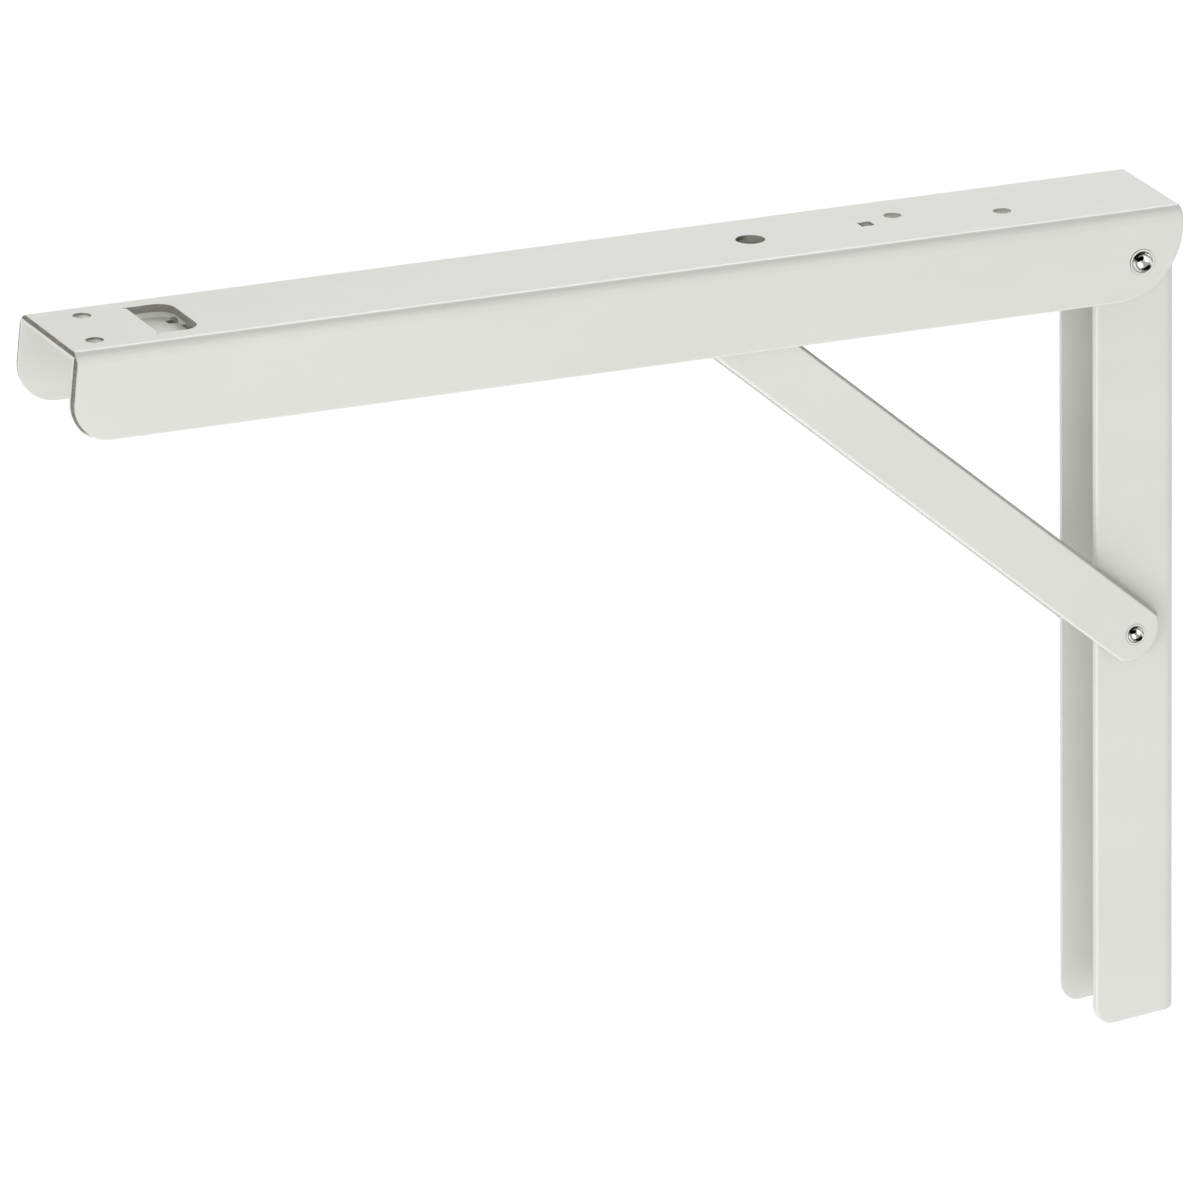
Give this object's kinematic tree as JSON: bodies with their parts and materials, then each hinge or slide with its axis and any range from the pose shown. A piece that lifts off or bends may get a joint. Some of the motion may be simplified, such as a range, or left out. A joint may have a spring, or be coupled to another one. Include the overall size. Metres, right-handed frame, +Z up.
{
  "type": "folding shelf bracket",
  "caption": "Wall-mounted folding shelf bracket: a channel arm that folds down over a two-bar strut and a wall channel, with a sliding, latching upper pivot.",
  "frame": {"origin": "centre of the middle wall screw hole, on the wall face of the wall channel", "axes": "+X out from the wall along the arm, +Y across the bracket, +Z up"},
  "size_m": [0.2999, 0.0388, 0.2175],
  "materials": {
    "arm_paint": "satin powder coat, light warm grey",
    "wall_paint": "satin powder coat, light warm grey",
    "strut_paint": "satin powder coat, light warm grey",
    "pivot_steel": "bright nickel-plated steel",
    "zinc_steel": "zinc-plated steel",
    "spring_steel": "spring wire",
    "nylon": "natural nylon"
  },
  "bodies": {
    "wall": {"wall_channel": "wall_paint", "arm_pivot_axle": "pivot_steel", "arm_pivot_sleeve": "zinc_steel", "arm_pivot_spacer_near": "nylon", "arm_pivot_spacer_far": "nylon", "strut_pivot_rivet_near": "pivot_steel", "strut_pivot_rivet_far": "pivot_steel", "strut_washer_near": "nylon", "strut_washer_far": "nylon"},
    "arm": {"arm_channel": "arm_paint", "guide_rail": "zinc_steel"},
    "strut": {"strut_bar_near": "strut_paint", "strut_bar_far": "strut_paint", "strut_stud_near": "pivot_steel", "strut_stud_far": "pivot_steel"},
    "slide": {"slide_axle": "pivot_steel", "slide_spacer": "zinc_steel", "slide_block_near": "nylon", "slide_block_far": "nylon", "slide_ring_near": "zinc_steel", "slide_ring_far": "zinc_steel", "latch_spring": "spring_steel"},
    "latch": {"latch_pawl": "zinc_steel"}
  },
  "joints": [
    {"name": "arm_fold", "type": "hinge", "parent": "wall", "child": "arm", "pos_m": [0.013, 0, 0.0994], "axis": [0, 1, 0], "range_deg": [0, 90]},
    {"name": "strut_swing", "type": "hinge", "parent": "wall", "child": "strut", "pos_m": [0.013, 0, 0], "axis": [0, 1, 0], "range_deg": [0, 130.63]},
    {"name": "strut_slide", "type": "slide", "parent": "arm", "child": "slide", "axis": [1, 0, 0], "range_m": [0, 0.13621]},
    {"name": "latch_release", "type": "hinge", "parent": "slide", "child": "latch", "pos_m": [0.1289, 0, 0.0994], "axis": [0, -1, 0], "range_deg": [0, 9], "stiffness_Nm_per_rad": 0.3, "springref_deg": -11.46, "deforming": ["latch_spring"]}
  ],
  "couplings": [
    {"joint": "strut_swing", "follows": "arm_fold", "ratio": 1.4513},
    {"joint": "strut_slide", "follows": "arm_fold", "m_per_rad": 0.086699}
  ]
}
